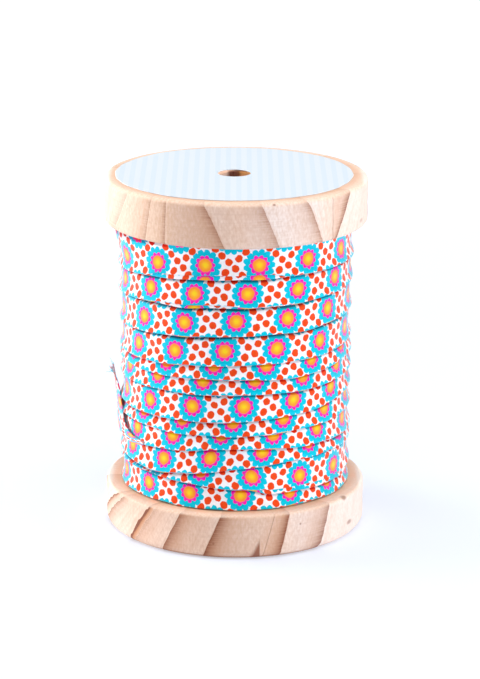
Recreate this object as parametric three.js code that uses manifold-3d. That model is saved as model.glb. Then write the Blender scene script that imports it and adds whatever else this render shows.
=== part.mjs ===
// A roll of double-fold bias tape on a turned pine spool. Millimetres, +Z up along the spool's axis.
// The origin is the centre of the spool's base. Angle 0 on the roll faces -Y, and it grows towards +X.

import * as THREE from "three";
import { mergeVertices } from "three/addons/utils/BufferGeometryUtils.js";
import Module from "manifold-3d";

const wasm = await Module();
wasm.setup();

// Spool
const FLANGE_RADIUS = 41;
const FLANGE_THICKNESS = 14.05;
const WOUND_LENGTH = 84.3;
const BORE_RADIUS = 5;
const CORE_RADIUS = 15;
const OUTER_EDGE_ROUND = 1.5;
const INNER_EDGE_ROUND = 1.1;
const FOOT_EDGE_ROUND = 2.6;
const EDGE_STEPS = 3;
const ROUND_SEGMENTS = 60;
const GAP = 0.3;

// Paper label on the upper end
const LABEL_RADIUS = 37;
const LABEL_THICKNESS = 0.3;

// Tape, folded double and pressed flat
const TAPE_WIDTH = 10;
const TAPE_THICKNESS = 1.2;
const LAP_STEP = 0.8;
const EDGE_CORNER_DROP = 0.25;
const EDGE_CORNER_HEIGHT = 0.6;
const BAND_MIDDLE = 0.55;
const LEAST_BAND = 0.4;
const BAND_MIDDLE_DROP = 0.24;
const CORNER_SHARE = 0.3;

const LOWER_FLANGE_TOP = FLANGE_THICKNESS;
const UPPER_FLANGE_BOTTOM = FLANGE_THICKNESS + WOUND_LENGTH;
const TOTAL_HEIGHT = UPPER_FLANGE_BOTTOM + FLANGE_THICKNESS;

// Outside radius of the winding at a few heights.
const WINDING = [
  { height: 14, radius: 35.8 },
  { height: 25, radius: 36.1 },
  { height: 56, radius: 36.0 },
  { height: 86, radius: 36.5 },
  { height: 99, radius: 36.8 },
];

// Height of the lower edge of each turn, from the bottom turn up. Each row runs once round the roll from
// the back, by the left, the front and the right, and goes on into the row after it.
const TURN_ANGLES = { back: -180, left: -75, nearLeft: -40, front: 0, nearRight: 40, right: 75 };
const TURNS = [
  { back: 2, left: 5, nearLeft: 6, front: 7, nearRight: 8, right: 9 },
  { back: 14, left: 22.6, nearLeft: 22.6, front: 21.0, nearRight: 20.3, right: 20.1 },
  { back: 24.5, left: 24.8, nearLeft: 24.0, front: 27.7, nearRight: 29.3, right: 28.8 },
  { back: 30.5, left: 30.6, nearLeft: 31.8, front: 34.2, nearRight: 33.0, right: 32.4 },
  { back: 36.0, left: 37.4, nearLeft: 37.9, front: 38.2, nearRight: 38.9, right: 39.8 },
  { back: 40.7, left: 41.3, nearLeft: 42.1, front: 42.8, nearRight: 44.2, right: 46.1 },
  { back: 48.8, left: 50.2, nearLeft: 50.8, front: 51.4, nearRight: 51.2, right: 51.8 },
  { back: 54.0, left: 55.7, nearLeft: 55.6, front: 56.2, nearRight: 55.9, right: 57.2 },
  { back: 58.3, left: 58.6, nearLeft: 59.3, front: 60.9, nearRight: 61.2, right: 61.6 },
  { back: 65.0, left: 67.2, nearLeft: 68.5, front: 70.2, nearRight: 70.3, right: 71.2 },
  { back: 74.5, left: 77.1, nearLeft: 78.1, front: 79.0, nearRight: 79.4, right: 80.5 },
  { back: 82.5, left: 85.0, nearLeft: 86.5, front: 87.9, nearRight: 88.1, right: 88.3 },
  { back: 88.5, left: 100, nearLeft: 101, front: 102, nearRight: 103, right: 104 },
  { back: 107, left: 110, nearLeft: 111, front: 112, nearRight: 113, right: 114 },
  { back: 117, left: 120, nearLeft: 121, front: 122, nearRight: 123, right: 124 },
];

// The loose end, from where it comes out from under a turn to its cut tip: the angle and height of the
// middle of what shows of it, how far that stands off the winding, and how wide it shows.
const LOOSE_END = [
  { angle: -50, height: 31.8, lift: 1.0, width: 1 },
  { angle: -58, height: 32.4, lift: 1.0, width: 3 },
  { angle: -66, height: 33.6, lift: 1.2, width: 5.5 },
  { angle: -73, height: 35.8, lift: 1.6, width: 8.5 },
  { angle: -78.5, height: 39.0, lift: 2.0, width: TAPE_WIDTH },
  { angle: -82.5, height: 43.0, lift: 1.7, width: TAPE_WIDTH },
  { angle: -86, height: 47.2, lift: 2.2, width: TAPE_WIDTH },
  { angle: -88.5, height: 51.4, lift: 3.4, width: TAPE_WIDTH },
];
const LOOSE_END_STEPS = 18;

const wood = new THREE.MeshStandardMaterial({ color: 0xdcb592, roughness: 0.62, metalness: 0 });
const paper = new THREE.MeshStandardMaterial({ color: 0xe3effb, roughness: 0.75, metalness: 0 });
const cotton = new THREE.MeshStandardMaterial({ color: 0xb9c9bd, roughness: 0.9, metalness: 0 });

// Points of a quarter-round edge of the given radius, about (x, y), between two angles in degrees.
function edgeArc(x, y, radius, from, to) {
  const points = [];
  for (let i = 0; i <= EDGE_STEPS; i++) {
    const angle = THREE.MathUtils.degToRad(from + ((to - from) * i) / EDGE_STEPS);
    points.push(new THREE.Vector2(x + radius * Math.cos(angle), y + radius * Math.sin(angle)));
  }
  return points;
}

// A turned piece, from a profile of (radius, height) that goes once round its section.
function turned(profile) {
  const geometry = new THREE.LatheGeometry([...profile, profile[0].clone()], ROUND_SEGMENTS);
  geometry.rotateX(Math.PI / 2);
  return geometry;
}

// A ring of rectangular section.
function ring(inner, outer, bottom, top) {
  return turned([
    new THREE.Vector2(inner, bottom),
    new THREE.Vector2(outer, bottom),
    new THREE.Vector2(outer, top),
    new THREE.Vector2(inner, top),
  ]);
}

function flange(bottom, lowerRound, upperRound) {
  const top = bottom + FLANGE_THICKNESS;
  return turned([
    new THREE.Vector2(BORE_RADIUS, bottom),
    ...edgeArc(FLANGE_RADIUS - lowerRound, bottom + lowerRound, lowerRound, -90, 0),
    ...edgeArc(FLANGE_RADIUS - upperRound, top - upperRound, upperRound, 0, 90),
    new THREE.Vector2(BORE_RADIUS, top),
  ]);
}

// The value at x of a smooth curve through knots [x, value] in rising order.
function smoothThrough(knots, x) {
  let i = 0;
  while (i < knots.length - 2 && x > knots[i + 1][0]) i++;
  const slope = (a, b) => (knots[b][1] - knots[a][1]) / (knots[b][0] - knots[a][0]);
  const before = Math.max(i - 1, 0);
  const after = Math.min(i + 2, knots.length - 1);
  const [x0, y0] = knots[i];
  const [x1, y1] = knots[i + 1];
  const span = x1 - x0;
  const t = THREE.MathUtils.clamp((x - x0) / span, 0, 1);
  const start = slope(before, i + 1) * span;
  const end = slope(i, after) * span;
  const bend = y1 - y0;
  return y0 + start * t + (3 * bend - 2 * start - end) * t * t + (start + end - 2 * bend) * t * t * t;
}

// The lower edge of the tape as one curve over the number of turns made since the first row's back.
const edgeKnots = TURNS.flatMap((row, turn) =>
  Object.entries(TURN_ANGLES).map(([place, angle]) => [turn + (angle + 180) / 360, row[place]]),
);
const windingKnots = WINDING.map(({ height, radius }) => [height, radius]);
const edgeHeight = (turns) => smoothThrough(edgeKnots, turns);
const windingRadius = (height) => smoothThrough(windingKnots, height);

// A point at an angle in degrees round the roll, measured from the front towards the right.
function aroundAxis(angle, radius, height) {
  const turn = THREE.MathUtils.degToRad(angle);
  return new THREE.Vector3(radius * Math.sin(turn), -radius * Math.cos(turn), height);
}

// One turn's section at a number of turns: from the surface tucked under its lower edge, round that edge,
// and up to the next turn's lower edge.
function bandSection(turns) {
  const low = edgeHeight(turns);
  const band = Math.max(edgeHeight(turns + 1) - low, LEAST_BAND);
  const radius = windingRadius(low);
  const corner = Math.min(EDGE_CORNER_HEIGHT, band * CORNER_SHARE);
  return [
    { height: low, radius: radius - LAP_STEP },
    { height: low, radius: radius - EDGE_CORNER_DROP },
    { height: low + corner, radius },
    { height: low + band * BAND_MIDDLE, radius: radius - BAND_MIDDLE_DROP },
  ];
}

// The solid that a closed geometry bounds.
function solidFrom(geometry) {
  const bare = geometry.clone();
  bare.deleteAttribute("normal");
  bare.deleteAttribute("uv");
  const merged = mergeVertices(bare, 1e-4);
  return new wasm.Manifold(
    new wasm.Mesh({
      numProp: 3,
      vertProperties: new Float32Array(merged.attributes.position.array),
      triVerts: new Uint32Array(merged.index.array),
    }),
  );
}

function geometryFrom(points, triangles) {
  const geometry = new THREE.BufferGeometry();
  geometry.setAttribute("position", new THREE.Float32BufferAttribute(points, 3));
  geometry.setIndex(triangles);
  geometry.computeVertexNormals();
  return geometry;
}

// The winding, as a screw of lapped bands that runs past both flanges. Column 0 of a turn is also the last
// column of the turn before it, so the bands join into one surface, closed at each end by a fan to the axis.
function screwOfBands() {
  const rows = bandSection(0).length;
  const turns = TURNS.length - 2;
  const points = [];
  const triangles = [];
  for (let turn = 0; turn <= turns; turn++) {
    for (let row = 0; row < rows; row++) {
      for (let column = 0; column < ROUND_SEGMENTS; column++) {
        const share = column / ROUND_SEGMENTS;
        const { height, radius } = bandSection(turn + share)[row];
        points.push(...aroundAxis(share * 360 - 180, radius, height));
      }
    }
  }
  const lastRow = (turns + 1) * rows - 1;
  const firstOpenRow = lastRow - rows;
  const vertex = (column, row) => (column < ROUND_SEGMENTS ? row * ROUND_SEGMENTS + column
    : (row + rows) * ROUND_SEGMENTS);
  for (let row = 0; row < firstOpenRow; row++) {
    for (let column = 0; column < ROUND_SEGMENTS; column++) {
      const [a, b] = [vertex(column, row), vertex(column + 1, row)];
      const [c, d] = [vertex(column + 1, row + 1), vertex(column, row + 1)];
      triangles.push(a, b, c, a, c, d);
    }
  }
  const rim = (row) => {
    const loop = [];
    for (let column = 0; column <= ROUND_SEGMENTS; column++) loop.push(vertex(column, row));
    for (let step = rows - 1; step > 0; step--) loop.push(vertex(0, row + step));
    return loop;
  };
  const close = (row, height, outward) => {
    const centre = points.length / 3;
    points.push(0, 0, height);
    const loop = rim(row);
    loop.forEach((start, i) => {
      const end = loop[(i + 1) % loop.length];
      triangles.push(centre, ...(outward > 0 ? [start, end] : [end, start]));
    });
  };
  close(0, edgeHeight(0) - TAPE_WIDTH, -1);
  close(firstOpenRow, edgeHeight(turns) + TAPE_WIDTH, 1);
  return geometryFrom(points, triangles);
}

function tapeRoll() {
  const room = ring(
    CORE_RADIUS + GAP,
    FLANGE_RADIUS,
    LOWER_FLANGE_TOP + GAP,
    UPPER_FLANGE_BOTTOM - GAP,
  );
  const mesh = solidFrom(screwOfBands()).intersect(solidFrom(room)).getMesh();
  return geometryFrom(Array.from(mesh.vertProperties), Array.from(mesh.triVerts));
}

// The loose end, as a strip of the tape whose back follows the roll.
function looseEnd() {
  const line = new THREE.CatmullRomCurve3(
    LOOSE_END.map(({ angle, height, lift }) => aroundAxis(angle, windingRadius(height) + lift, height)),
  );
  const widthKnots = LOOSE_END.map(({ width }, row) => [row / (LOOSE_END.length - 1), width]);
  const points = [];
  const triangles = [];
  for (let step = 0; step <= LOOSE_END_STEPS; step++) {
    const share = step / LOOSE_END_STEPS;
    const middle = line.getPoint(share);
    const along = line.getTangent(share);
    const halfWidth = smoothThrough(widthKnots, share) / 2;
    const outward = new THREE.Vector3(middle.x, middle.y, 0).normalize();
    const across = new THREE.Vector3().crossVectors(along, outward).normalize();
    const normal = new THREE.Vector3().crossVectors(across, along).normalize();
    for (const [side, face] of [[-1, -1], [1, -1], [1, 1], [-1, 1]]) {
      const corner = middle.clone();
      corner.addScaledVector(across, side * halfWidth);
      corner.addScaledVector(normal, (face * TAPE_THICKNESS) / 2);
      points.push(...corner);
    }
  }
  for (let step = 0; step < LOOSE_END_STEPS; step++) {
    for (let side = 0; side < 4; side++) {
      const [a, b] = [step * 4 + side, step * 4 + ((side + 1) % 4)];
      triangles.push(a, b + 4, b, a, a + 4, b + 4);
    }
  }
  const tip = LOOSE_END_STEPS * 4;
  triangles.push(0, 1, 2, 0, 2, 3, tip, tip + 2, tip + 1, tip, tip + 3, tip + 2);
  return geometryFrom(points, triangles);
}

function addPart(group, name, geometry, material) {
  const mesh = new THREE.Mesh(geometry, material);
  mesh.name = name;
  group.add(mesh);
}

const roll = new THREE.Group();
addPart(roll, "flange_bottom", flange(0, FOOT_EDGE_ROUND, INNER_EDGE_ROUND), wood);
addPart(roll, "flange_top", flange(UPPER_FLANGE_BOTTOM, INNER_EDGE_ROUND, OUTER_EDGE_ROUND), wood);
addPart(roll, "core", ring(BORE_RADIUS, CORE_RADIUS, LOWER_FLANGE_TOP + GAP, UPPER_FLANGE_BOTTOM - GAP), wood);
addPart(
  roll,
  "label",
  ring(BORE_RADIUS, LABEL_RADIUS, TOTAL_HEIGHT + GAP, TOTAL_HEIGHT + GAP + LABEL_THICKNESS),
  paper,
);
addPart(roll, "tape_roll", tapeRoll(), cotton);
addPart(roll, "tape_end", looseEnd(), cotton);

export default roll;
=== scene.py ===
"""Dresses a roll of double-fold bias tape on a turned pine spool.

The tables are in millimetres and degrees, and the scene is in metres.
Angle 0 on the roll faces -Y, where the camera stands, and angles grow towards +X.
"""
import math
import random

import bpy
import numpy as np
from mathutils import Euler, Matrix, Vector


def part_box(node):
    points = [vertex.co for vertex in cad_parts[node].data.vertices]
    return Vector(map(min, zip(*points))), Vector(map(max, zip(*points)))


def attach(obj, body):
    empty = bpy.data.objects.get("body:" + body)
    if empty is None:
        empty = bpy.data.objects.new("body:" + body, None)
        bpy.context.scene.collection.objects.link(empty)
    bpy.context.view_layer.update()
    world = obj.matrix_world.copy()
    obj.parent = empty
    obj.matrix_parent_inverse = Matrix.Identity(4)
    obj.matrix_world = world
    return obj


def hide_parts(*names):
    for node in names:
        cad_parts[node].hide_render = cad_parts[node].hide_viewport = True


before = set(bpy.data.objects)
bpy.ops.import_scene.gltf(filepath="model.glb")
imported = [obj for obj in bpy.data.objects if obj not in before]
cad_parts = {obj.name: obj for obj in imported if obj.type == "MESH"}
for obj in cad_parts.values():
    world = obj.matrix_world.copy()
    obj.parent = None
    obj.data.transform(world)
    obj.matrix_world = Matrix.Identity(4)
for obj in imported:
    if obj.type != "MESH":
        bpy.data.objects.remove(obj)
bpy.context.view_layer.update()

MM = 0.001
BODY = "root"
UV_NAME = "surface"
# Name of the value kept at the tape's points that holds its painted shade
CAVITY_NAME = "cavity"


def node_box(node):
    """Lowest and highest corner of a CAD node, in millimetres."""
    return [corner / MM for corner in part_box(node)]


# Spool, its main sizes read from the frame
LOWER_BOTTOM, LOWER_TOP = (corner.z for corner in node_box("flange_bottom"))
UPPER_BOTTOM, UPPER_TOP = (corner.z for corner in node_box("flange_top"))
FLANGE_RADIUS = node_box("flange_bottom")[1].x
CORE_RADIUS = node_box("core")[1].x
LABEL_RADIUS = node_box("label")[1].x
BORE_RADIUS = 5.0
OUTER_EDGE_ROUND = 1.5
INNER_EDGE_ROUND = 1.1
FOOT_EDGE_ROUND = 2.6
BORE_CHAMFER = 0.5
HOLDING_EDGE = 0.25
FACE_RADII = (10.0, 20.0, 30.0)
PIECE_CLEARANCE = 0.02
TURNED_STEPS = 240
EDGE_STEPS = 6
SIDE_STEPS = 6
DEGREES_PER_RADIAN = 57.3
DENT_DEPTH = 0.05
DENT_SLANT = 7.0
DENT_RADII = (36.0, 40.0)

# Paper label on the upper end
LABEL_THICKNESS = 0.25
LABEL_SHIFT = (-0.6, 0.1)
LABEL_HOLE_RADIUS = 5.1
LABEL_FACE_RADII = (25.0, 12.0)
LABEL_EDGE_WANDER = 0.12
LABEL_EDGE_REACH = 1.0
LABEL_EDGE_PER_DEGREE = 0.6
STRIPE_PITCH = 3.3
STRIPE_EDGE = (-0.2, 0.4)
FIBRES = (2.2, 3.0)
FIBRE_SHARE = 0.25
PAPER_BUMP = (0.15, 0.04)

# Tape: two leaves, folded along the top edge, open along the lower edge
TAPE_WIDTH = 10.0
WOUND_RADIUS = 36.0
TAPE_THICKNESS = 0.9
LEAF_THICKNESS = 0.42
SLIT_DEPTH = 1.3
LAP_DROP = 0.95
LAP_LENGTH = 3.6
GROOVE_WIDTH = 1.3
GROOVE_DEPTH = (1.05, 0.4)
EDGE_LIFT = 0.22
EDGE_LIFT_LENGTH = 1.6
EDGE_WANDER = 0.12
LIP_WANDER = 0.22
LIP_CURL = 0.32
LIP_CURL_LENGTH = 1.6
FACE_WANDER = 0.07
FACE_SLANT = 3.0
OUTSIDE_GAIN = 0.35
BULGE = 1.7
BULGE_ANGLES = (-165.0, -30.0)
BULGE_RAMP = 45.0
BULGE_HEIGHTS = (86.0, 97.0)
FLANGE_GAP = 0.25
LOWEST_TAPE = LOWER_TOP + FLANGE_GAP
HIGHEST_TAPE = UPPER_BOTTOM - FLANGE_GAP
STEPS_PER_TURN = 150
LEAST_BAND = 0.4
MOST_LAPS = 4
NO_LAP = 99.0

# Outside radius of the winding at a few heights: height, radius
WINDING = ((14, 35.8), (25, 36.1), (56, 36.0), (86, 36.5), (99, 36.8))

# Height of the lower edge of each turn, from the bottom turn up, at these angles: back, left, near left,
# front, near right and right. Each turn goes on into the next one.
TURN_ANGLES = (-180, -75, -40, 0, 40, 75)
TURN_EDGES = (
    (14.4, 14.4, 14.4, 14.4, 14.4, 14.4),
    (15.6, 22.6, 22.6, 21.0, 20.3, 20.1),
    (24.5, 24.8, 24.0, 27.7, 29.3, 28.8),
    (30.5, 30.6, 31.8, 34.2, 33.0, 32.4),
    (36.0, 37.4, 37.9, 38.2, 38.9, 39.8),
    (40.7, 41.3, 42.1, 42.8, 44.2, 46.1),
    (48.8, 50.2, 50.8, 51.4, 51.2, 51.8),
    (54.0, 55.7, 55.6, 56.2, 55.9, 57.2),
    (58.3, 58.6, 59.3, 60.9, 61.2, 61.6),
    (65.0, 67.2, 68.5, 70.2, 70.3, 71.2),
    (74.5, 77.1, 78.1, 79.0, 79.4, 80.5),
    (82.5, 85.0, 86.5, 87.9, 88.1, 88.3),
    (88.5, 100, 101, 102, 103, 104),
)
LAST_TURN = 12.24

# How strong the seam at each turn's lower edge is, from the bottom turn up, and how dark it gets
SEAM_STRENGTHS = (1.0, 0.5, 0.45, 0.45, 0.4, 0.6, 0.7, 0.5, 0.35, 1.7, 1.45, 0.8, 1.0)
SIDE_SEAM_GAIN = 0.2
SIDE_SEAM_ANGLES = (30.0, 75.0)
# Painted shade just under each lip: darkness at the front and sides, reach downwards, deepening and darkening
CAVITY_DARKNESS = (0.45, 0.85)
CAVITY_REACH = (0.65, 1.05)
SEAM_DEEPENING = 1.6
SEAM_SHADE = 0.7
BACK_SEAM_ANGLES = (105.0, 150.0)
BACK_SEAM_LOSS = 0.6

# Shade on the top turn at the left, just under the upper flange: first and last angle, how far it reaches
# down at each of them, how it fades out downwards and sideways, and how dark it is
TOP_SHADE_ANGLES = (-88.0, -40.0)
TOP_SHADE_REACH = (3.2, 1.5)
TOP_SHADE_FADE = 0.5
TOP_SHADE_RAMP = 8.0
TOP_SHADE_DARKNESS = 0.6

# Where the two leaves of the open edge part: turn, first and last angle, how far the front leaf is drawn
# up and how far the back leaf hangs out. FRONT_LEAF and BACK_LEAF are the columns of the last two.
FRONT_LEAF, BACK_LEAF = 3, 4
LIP_NAMES = {FRONT_LEAF: "front lip", BACK_LEAF: "back lip"}
PARTED_LIPS = (
    (11, -50, 28, 1.4, 0.0),
    (10, -48, 8, 0.9, 0.0),
    (1, 6, 80, 0.0, 1.5),
)
PARTING_LENGTH = 12.0

# The layer of turns under the outermost ones: height of a turn, its depth, the gap round the core, and its
# section as shares of that height with the drop at each
UNDER_PITCH = 8.4
UNDER_DEPTH = 5.4
UNDER_CORE_GAP = 0.3
UNDER_SECTION = ((0.0, 0.15), (0.06, 0.0), (0.5, 0.3), (1.0, 0.6))

# Lengths of the waves that each uneven shape is made of
WAVES = {
    "edge": (31.0, 17.0, 55.0),
    "front lip": (41.0, 23.0, 97.0),
    "back lip": (37.0, 19.0, 83.0),
    "groove": (43.0, 26.0, 110.0),
    "lift": (29.0, 47.0, 71.0),
    "face": (33.0, 21.0, 58.0),
    "lower dents": (23.0, 11.0, 61.0),
    "upper dents": (23.0, 11.0, 61.0),
    "label edge": (40.0, 23.0, 9.0),
}

# The loose end, from its root to its cut tip: angle, height and lift of its near edge, then of its far edge.
# IN_SLIT_DEPTH is a share of a leaf's thickness.
LOOSE_END = (
    (-50, 32.2, 0.7, -51.5, 31.0, 0.7),
    (-56, 32.6, 0.8, -59, 30.6, 0.8),
    (-63, 33.1, 0.6, -68, 30.5, 0.9),
    (-70.5, 34.6, 0.48, -78, 31.0, 0.9),
    (-74.2, 36.8, 0.46, -85, 32.4, 1.0),
    (-77.5, 40.0, 0.5, -91.5, 35.6, 1.35),
    (-82.5, 43.4, 0.75, -97, 40.2, 2.2),
    (-86.8, 46.3, 1.65, -100.5, 43.8, 2.9),
    (-89, 48.4, 2.85, -103, 47.8, 4.1),
)
LOOSE_END_THICKNESS = 0.46
LOOSE_END_LEAF = 0.21
LOOSE_END_SLIT = 4.0
LOOSE_END_STEPS = 64
LOOSE_END_TIP_STEPS = 4
LOOSE_END_PRINT_SHIFT = (9.6, 3.0)
LOOSE_END_SKEW = -0.3
LOOSE_END_SHADE_ROWS = ((0.2, 1.2), (5.4, 6.4))
LOOSE_END_SHADE = 0.55
IN_SLIT_DEPTH = 0.75

# Threads that stand out of the cut tip, and one stray thread that points to the left. THREAD_SIDE is a
# direction that no thread takes.
THREAD_COUNT = 16
THREAD_RADIUS = 0.07
THREAD_LENGTHS = (0.6, 1.6)
THREAD_ROOT = 0.3
THREAD_SPREAD = 0.5
THREAD_CURL = 0.4
THREAD_TAPER = 0.5
THREAD_SIDE = (0.3, 0.9, 0.2)
THREAD_STEPS = 6
THREAD_SIDES = 5
STRAY_THREAD = (-1.9, -0.4, -0.5)
STRAY_THREAD_CURL = (0.0, 0.0, 0.5)
STRAY_THREAD_PLACE = 8
STRAY_THREAD_ROOT = 0.2

# Growth rings where they meet the side of each flange: angle at the upper edge, angle at the lower edge, and
# number of the ring counted outwards from the pith. RING_TURN is what one turn round the flange adds, and
# SPLIT the angle of a fine split at the upper and at the lower edge.
LOWER_RINGS = (
    (-140, -155, 8.6), (-114, -140, 8), (-88, -120, 7), (-62.5, -96, 6), (-58.0, -86, 5),
    (-39.8, -54.4, 4), (-37.4, -51.0, 3), (-24.3, -34.4, 2), (-6.2, -14.4, 1), (13, 4, 0),
    (24.3, 19.6, 1), (46.5, 39.4, 2), (84, 78, 2.5), (104, 97, 2.9), (112, 105, 3),
    (114, 107, 4), (128, 122, 5), (131, 125, 6), (155, 150, 7), (188, 182, 8),
)
LOWER_RING_TURN = 0
LOWER_SPLIT = (17.5, 11.9)
UPPER_RINGS = (
    (-100, -106, 0), (-52, -64, 1), (-38.2, -42, 2), (-31, -31.4, 3), (-13.8, -4.9, 4), (10.9, 18.3, 5),
    (31.6, 40.4, 6), (58.2, 47.5, 7), (93, 87, 8), (110, 104, 9), (132, 128, 10), (165, 163, 11),
    (205, 206, 12),
)
UPPER_RING_TURN = 13
UPPER_SPLIT = (45.3, 45.7)

# The wood of each flange
# shades: how dark each ring's line is. tones: how pale its wood is. power: how narrow its dark part is.
# rim: heights where the rim's painted highlight starts and is full. The entry after it: how much paler the
# right side is, painted light.
# marks: angle, height, half width, half height and strength of each small dark spot in the side.
# tints: where along X each tint starts and is full, and its factors of green and blue.
# wedge: right side, width and height of a wedge of dark wood at the foot.
LOWER_WOOD = {
    "shades": (1.15, 0.95, 0.5, 6.0, 0.8, 1.4, 0.8, 0.9, 0.7),
    "tones": (0.3, 0.5, 0.6, 0.1, 0.6, 0.45, 0.7, 0.8, 0.7),
    "power": 3.5,
    "rim": (LOWER_TOP - 0.8, LOWER_TOP),
    "marks": ((61.3, 4.9, 2.0, 1.0, 0.6), (57.0, 14.0, 1.8, 1.2, 0.7)),
    "right_side_light": 0.3,
    "tints": (
        (-2.0, -9.0, 0.91, 0.83), (-31.0, -36.0, 1.08, 1.14),
        (16.0, 20.0, 1.06, 1.13), (26.0, 30.0, 0.94, 0.89),
    ),
    "wedge": (7.7, 3.4, 6.6),
}
UPPER_WOOD = {
    "shades": (0.35, 0.5, 0.6, 0.7, 0.6, 0.65, 1.1, 0.4, 0.4, 0.6, 0.5, 0.6, 0.5),
    "tones": (0.65, 0.47, 0.4, 0.23, 0.37, 0.47, 0.57, 0.65, 0.65, 0.5, 0.8, 0.6, 0.7),
    "power": 5.0,
    "rim": (UPPER_TOP - 1.3, UPPER_TOP - 0.2),
    "marks": ((16.2, 111.9, 0.8, 0.55, 0.95), (69.4, 101.2, 2.0, 0.9, 0.35)),
    "right_side_light": 0.08,
    "tints": ((-16.0, -24.0, 0.96, 0.88), (0.0, 8.0, 1.09, 1.19), (22.0, 28.0, 0.91, 0.83)),
}

# Noises in the wood: stretch sideways, stretch upwards, scale and detail
GRAIN = (1.0, 0.25, 0.12, 3.0)
DRAG = (0.08, 3.2, 1.0, 3.0)
FLECK = (1.0, 0.5, 1.6, 4.0)
LATHE = (0.03, 2.6, 1.0, 3.0)

# Growth rings: wobble of their lines, how unevenly they end, streaks along them, and how amber and brown
# come in
RING_WOBBLE = 0.16
RING_DRAG = (0.86, 0.24)
TONE_FLECK = 0.7
STREAK_STRETCH = (14.0, 0.05)
STREAK_NOISE = (1.0, 3.0)
STREAK_REACH = (0.35, 0.8)
STREAK_SHARE = 0.4
AMBER_SHARE = 0.75
AMBER_POWER = 0.5
BROWN_POWER = 1.6

# Small faults: tool marks, width and softness of a split, scale and size of specks, edge of a dark mark, and
# how the wood stands out
LATHE_REACH = (0.5, 0.8)
LATHE_SHARE = 0.1
SPLIT_WIDTH = (0.16, 0.1)
SPLIT_SHARE = 0.45
SPECKS = (0.1, 0.035)
SPECK_SHARE = 0.6
MARK_EDGE = (0.7, 0.4)
LATHE_RELIEF = 0.7
FLECK_RELIEF = 0.3
WOOD_BUMP = (0.25, 0.12)

# The turned rim and upper face have a painted highlight, uneven with the fleck, and painted shade inside a
# radius, where the tape shades the face, fading over a distance to each side of it. The highlight is almost
# white at both sides, beyond these places from the axis.
FACE_SHADE_REACH = (38.4, 1.2)
RIM_FLECK = (0.3, 0.7)
RIM_SHARE = 0.75
SIDE_HIGHLIGHT = (38.3, 39.8)
SIDE_HIGHLIGHT_SHARE = 0.85

# Places from the axis where the painted light that makes the right side paler starts and is full
RIGHT_SIDE_LIGHT_REACH = (22.0, 40.0)

# Dark wedge at the foot: how its left and right side fade, how it ends behind, and its share
WEDGE_LEFT_FADE = (-0.5, 1.1)
WEDGE_RIGHT_FADE = 0.25
WEDGE_BACK_FADE = 1.0
WEDGE_SHARE = 0.95

# Painted shade along the foot of the lower flange: its height and fade, and where it starts and is full along
# Y and outwards
FOOT_SHADE_HEIGHT = (1.0, 0.35)
FOOT_SHADE_PLACES = (-22.0, -40.0)
FOOT_SHADE_RADIUS = (37.6, 38.6)
FOOT_SHADE_SHARE = 0.65

# The bore's wall: its reach and fade, its unevenness, where its amber side, a painted light, starts and is
# full, and the middle, half width and fade of its dark part, a painted shade in the hole
BORE_REACH = (BORE_RADIUS + 0.25, 0.15)
BORE_FLECK = (0.7, 0.4)
BORE_AMBER_PLACES = (-1.0, 1.5)
BORE_DARK_PART = (-0.7, 1.9, 0.7)

# Print: round flowers on a square grid that stands at 45 degrees to the tape, with dots in straight rows
PRINT_PITCH = 11.6
PRINT_SHIFT = (0.0, 4.6)
PRINT_SOFTNESS = 0.07
PRINT_WOBBLE = 0.3
PRINT_WOBBLE_SCALES = (0.9, 1.1)

# Petals: count, radius between them, how far they stand out and how blunt they are
PETALS = (13, 4.0, 1.0, 0.6)
INNER_PETALS = (10, 2.4, 0.75, 0.8)
CENTRE_RADIUS = 2.05
CENTRE_SOFTNESS = 3 * PRINT_SOFTNESS
DOT_SIZE = (1.1, 1.22)
DOTS_PER_PITCH = 4
DOT_CLEARANCE = (0.45, 0.5)

# Radii over which each ink changes its shade, scale of the uneven ink and of the ground, and share of the ink
TURQUOISE_REACH = (2.4, 4.4)
MAGENTA_REACH = (1.7, 2.9)
YELLOW_REACH = (0.2, 1.8)
INK_SCALE = 0.5
GROUND_SCALE = 0.15
INK_SHARE = 0.5

# Weave: width of a thread, how much it shades the cloth and how it stands out, and the sheen of the fibres
THREAD_PITCH = 0.3
WEAVE_SHADE = 0.04
WEAVE_SHARE = 0.12
WEAVE_BUMP = (0.35, 0.05)
SHEEN = 0.9
SHEEN_ROUGHNESS = 0.37

# Camera, fitted to the rims of the flanges in a frame of 480 by 679 pixels
CAMERA_DISTANCE = 834.0
CAMERA_HEIGHT = 301.8
CAMERA_PITCH = math.radians(16.2475)
CAMERA_YAW = 0.0017
CAMERA_ROLL = 0.0045
CAMERA_LENS = 145.69
CAMERA_SENSOR = 36.0
CAMERA_CLIP = (0.05, 40.0)

# The floor glows a little, a painted light like a light table's: near the object and far from it. Its half
# width is in metres.
FLOOR_HALF = 12.0
FLOOR_GLOW = (0.41, 0.68)
FLOOR_GLOW_COLOUR = (0.95, 0.96, 1.0, 1.0)
FLOOR_GLOW_REACH = (150.0, 1000.0)
FLOOR_NOISE_SCALE = 0.004

# Lights: place, width and height in metres, and power in watts
LIGHTS = {
    "left_softbox": ((-1.18, 0.31, 0.26), (0.8, 0.45), 17.5),
    "right_softbox": ((1.18, -0.32, 0.3), (0.8, 0.45), 9.0),
    "front_fill": ((0.1, -1.5, 1.1), (1.2, 1.2), 4.5),
    "overhead": ((0.0, -0.2, 1.5), (1.2, 1.2), 14.0),
    "backdrop_light": ((0.0, 1.6, 1.2), (1.6, 0.8), 3.0),
}
WORLD_COLOUR = (0.96, 0.98, 1.0, 1.0)
WORLD_STRENGTH = 0.3


# Shapes

def smooth_step(x):
    """0 below 0, 1 above 1, and a smooth rise between."""
    x = np.clip(x, 0.0, 1.0)
    return x * x * (3.0 - 2.0 * x)


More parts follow.
